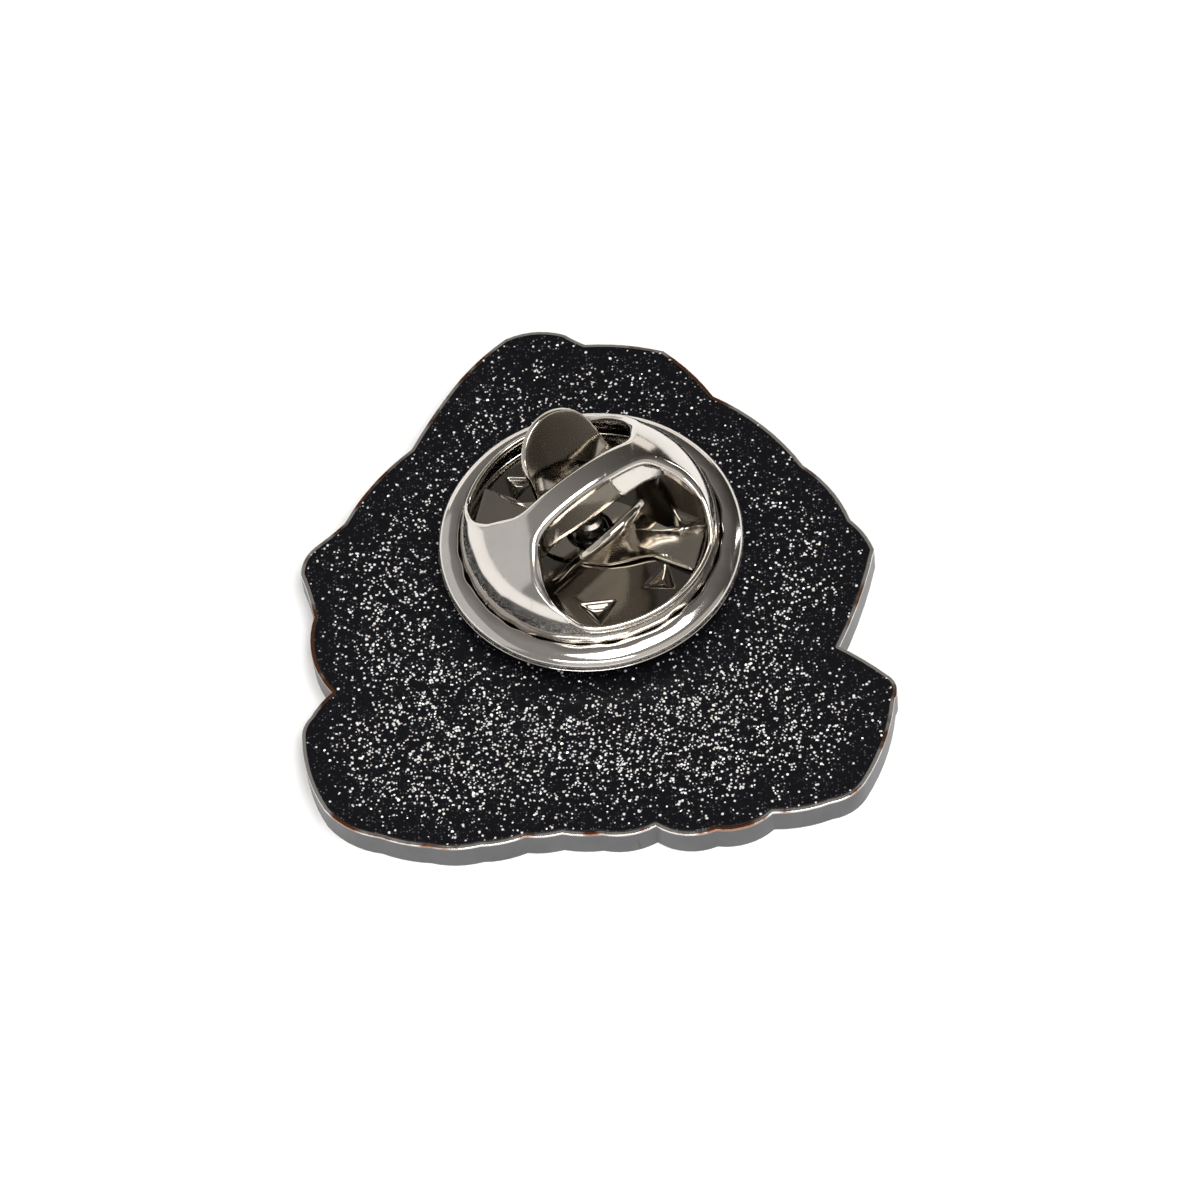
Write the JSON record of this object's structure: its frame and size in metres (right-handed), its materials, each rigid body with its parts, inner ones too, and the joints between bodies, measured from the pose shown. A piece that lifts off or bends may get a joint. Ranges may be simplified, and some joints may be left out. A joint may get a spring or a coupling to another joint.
{
  "type": "enamel pin",
  "caption": "Die-struck enamel lapel pin with a mountain picture, a dark sparkle back, a grooved post and a butterfly clutch.",
  "frame": {"origin": "on the post's axis, in the plane of the front face", "axes": "+Z from the front face through the back along the post, +Y towards the top of the picture, +X to the right as seen from the back"},
  "size_m": [0.0221, 0.023, 0.0071],
  "materials": {
    "nickel": "satin nickel plating",
    "clutch_metal": "bright nickel plating",
    "solder": "dull solder",
    "sparkle_black": "black lacquer with sparkle",
    "enamel_white": "polished hard enamel",
    "enamel_sky": "polished hard enamel",
    "enamel_slate": "polished hard enamel",
    "enamel_green": "polished hard enamel",
    "enamel_cream": "polished hard enamel",
    "enamel_teal": "polished hard enamel"
  },
  "bodies": {
    "badge": {"plate": "nickel", "enamel_snow": "enamel_white", "enamel_slope_light": "enamel_sky", "enamel_slope_shade": "enamel_slate", "enamel_hills": "enamel_green", "enamel_cloud": "enamel_cream", "enamel_lake": "enamel_teal", "back_coat": "sparkle_black", "post": "clutch_metal", "solder_fillet": "solder"},
    "clutch_disc": {"clutch_base": "clutch_metal"},
    "clutch_shell": {"clutch_cover": "clutch_metal", "spring_strap": "clutch_metal"},
    "far_lever": {"wing_far": "clutch_metal"},
    "near_lever": {"wing_near": "clutch_metal"}
  },
  "joints": [
    {"name": "clutch_slide", "type": "slide", "parent": "badge", "child": "clutch_disc", "axis": [0, 0, 1], "range_m": [0, 0.012]},
    {"name": "clutch_spin", "type": "hinge", "parent": "clutch_disc", "child": "clutch_shell", "pos_m": [0, 0, 0.00245], "axis": [0, 0, 1], "continuous": true},
    {"name": "wing_far_pinch", "type": "hinge", "parent": "clutch_shell", "child": "far_lever", "pos_m": [-0.00071, 0.00072, 0.00395], "axis": [0.7133, 0.7009, 0], "range_deg": [0, 14], "stiffness_Nm_per_rad": 0.03},
    {"name": "wing_near_pinch", "type": "hinge", "parent": "clutch_shell", "child": "near_lever", "pos_m": [0.00065, -0.00067, 0.00395], "axis": [-0.7133, -0.7009, 0], "range_deg": [0, 14]}
  ],
  "couplings": [
    {"joint": "wing_near_pinch", "follows": "wing_far_pinch", "ratio": 1}
  ]
}
